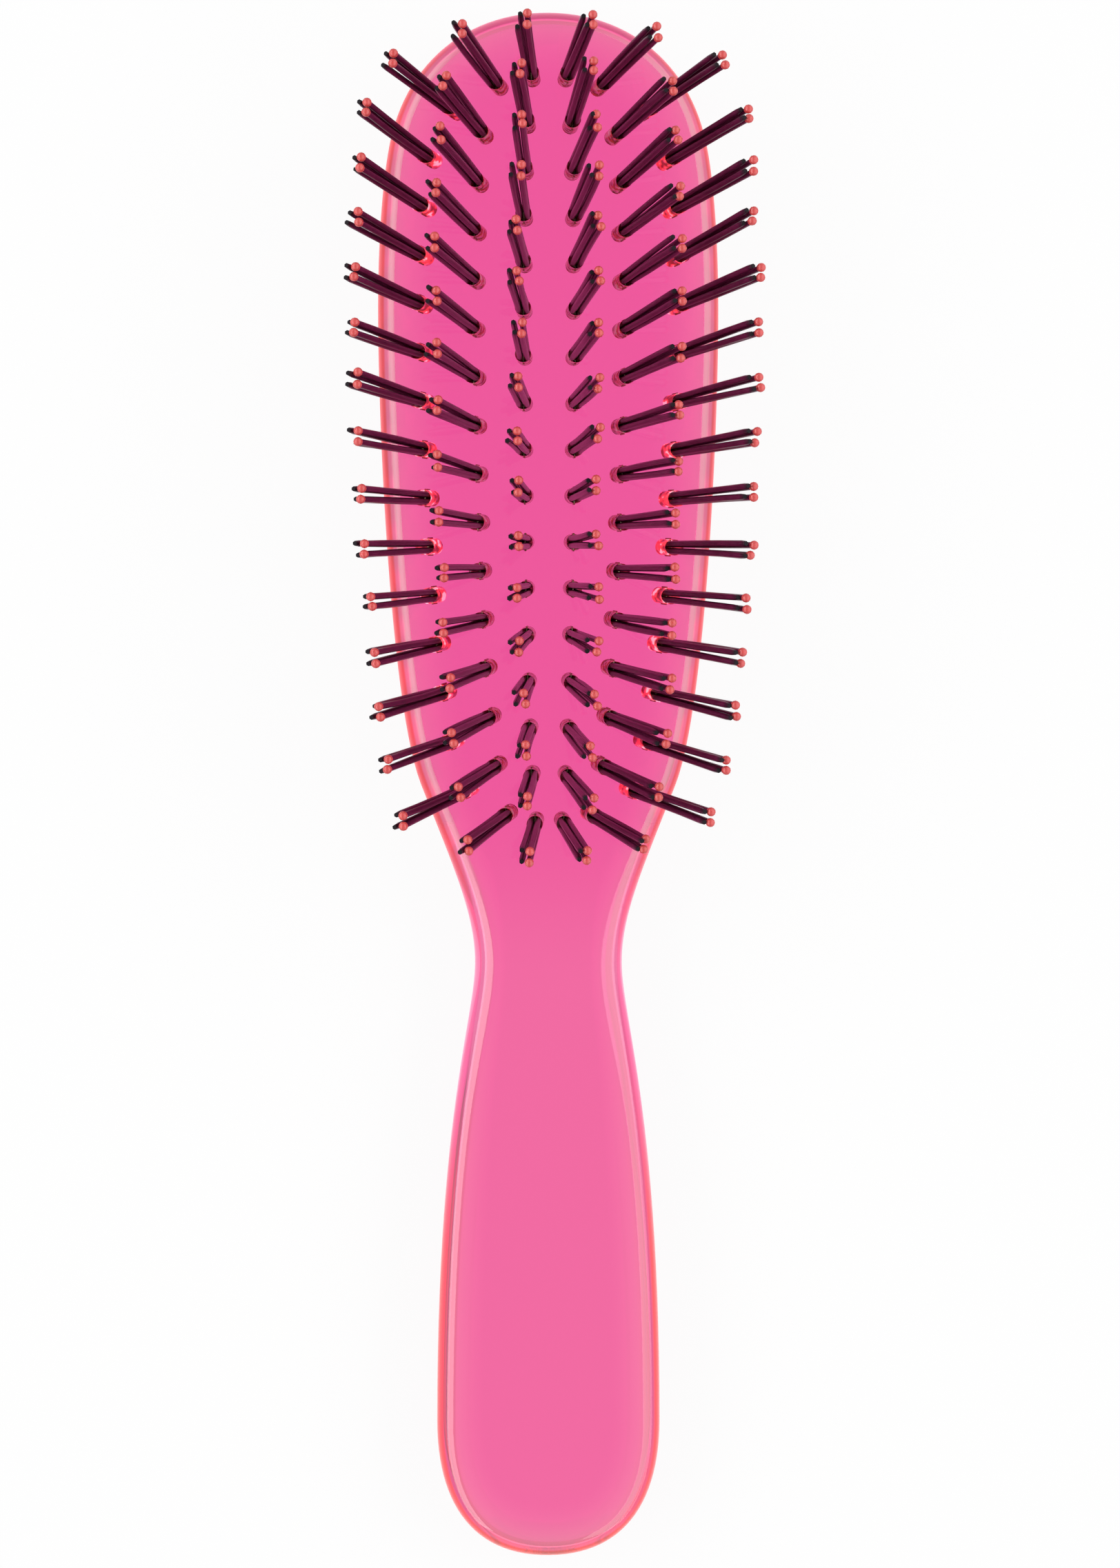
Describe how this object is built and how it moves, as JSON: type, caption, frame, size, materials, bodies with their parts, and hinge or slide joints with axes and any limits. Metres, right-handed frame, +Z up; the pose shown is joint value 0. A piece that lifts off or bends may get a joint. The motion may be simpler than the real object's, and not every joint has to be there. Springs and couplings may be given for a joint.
{
  "type": "styling brush",
  "caption": "Narrow hair styling brush: a flat translucent moulded body with a waisted handle, and fanned tufts of folded strands with ball tips anchored in blind holes.",
  "frame": {"origin": "middle of the brush's length and width, on the flat of the back that it lies on", "axes": "+Z up out of the bristle face, +Y from the handle towards the top of the head, +X to the right as the picture shows it"},
  "size_m": [0.0578, 0.22, 0.0286],
  "materials": {
    "body": "polished translucent pink acrylic",
    "strand": "satin translucent smoky nylon",
    "anchor": "bright stamped wire",
    "ball_tip": "glossy coral resin"
  },
  "bodies": {
    "root": {"body": "body", "left_centre_toe_strands": "strand", "left_centre_heel_strands": "strand", "left_centre_anchors": "anchor", "left_centre_ball_tips": "ball_tip", "left_inner_toe_strands": "strand", "left_inner_heel_strands": "strand", "left_inner_anchors": "anchor", "left_inner_ball_tips": "ball_tip", "left_outer_toe_strands": "strand", "left_outer_heel_strands": "strand", "left_outer_anchors": "anchor", "left_outer_ball_tips": "ball_tip", "right_centre_toe_strands": "strand", "right_centre_heel_strands": "strand", "right_centre_anchors": "anchor", "right_centre_ball_tips": "ball_tip", "right_inner_toe_strands": "strand", "right_inner_heel_strands": "strand", "right_inner_anchors": "anchor", "right_inner_ball_tips": "ball_tip", "right_outer_toe_strands": "strand", "right_outer_heel_strands": "strand", "right_outer_anchors": "anchor", "right_outer_ball_tips": "ball_tip"}
  },
  "joints": []
}
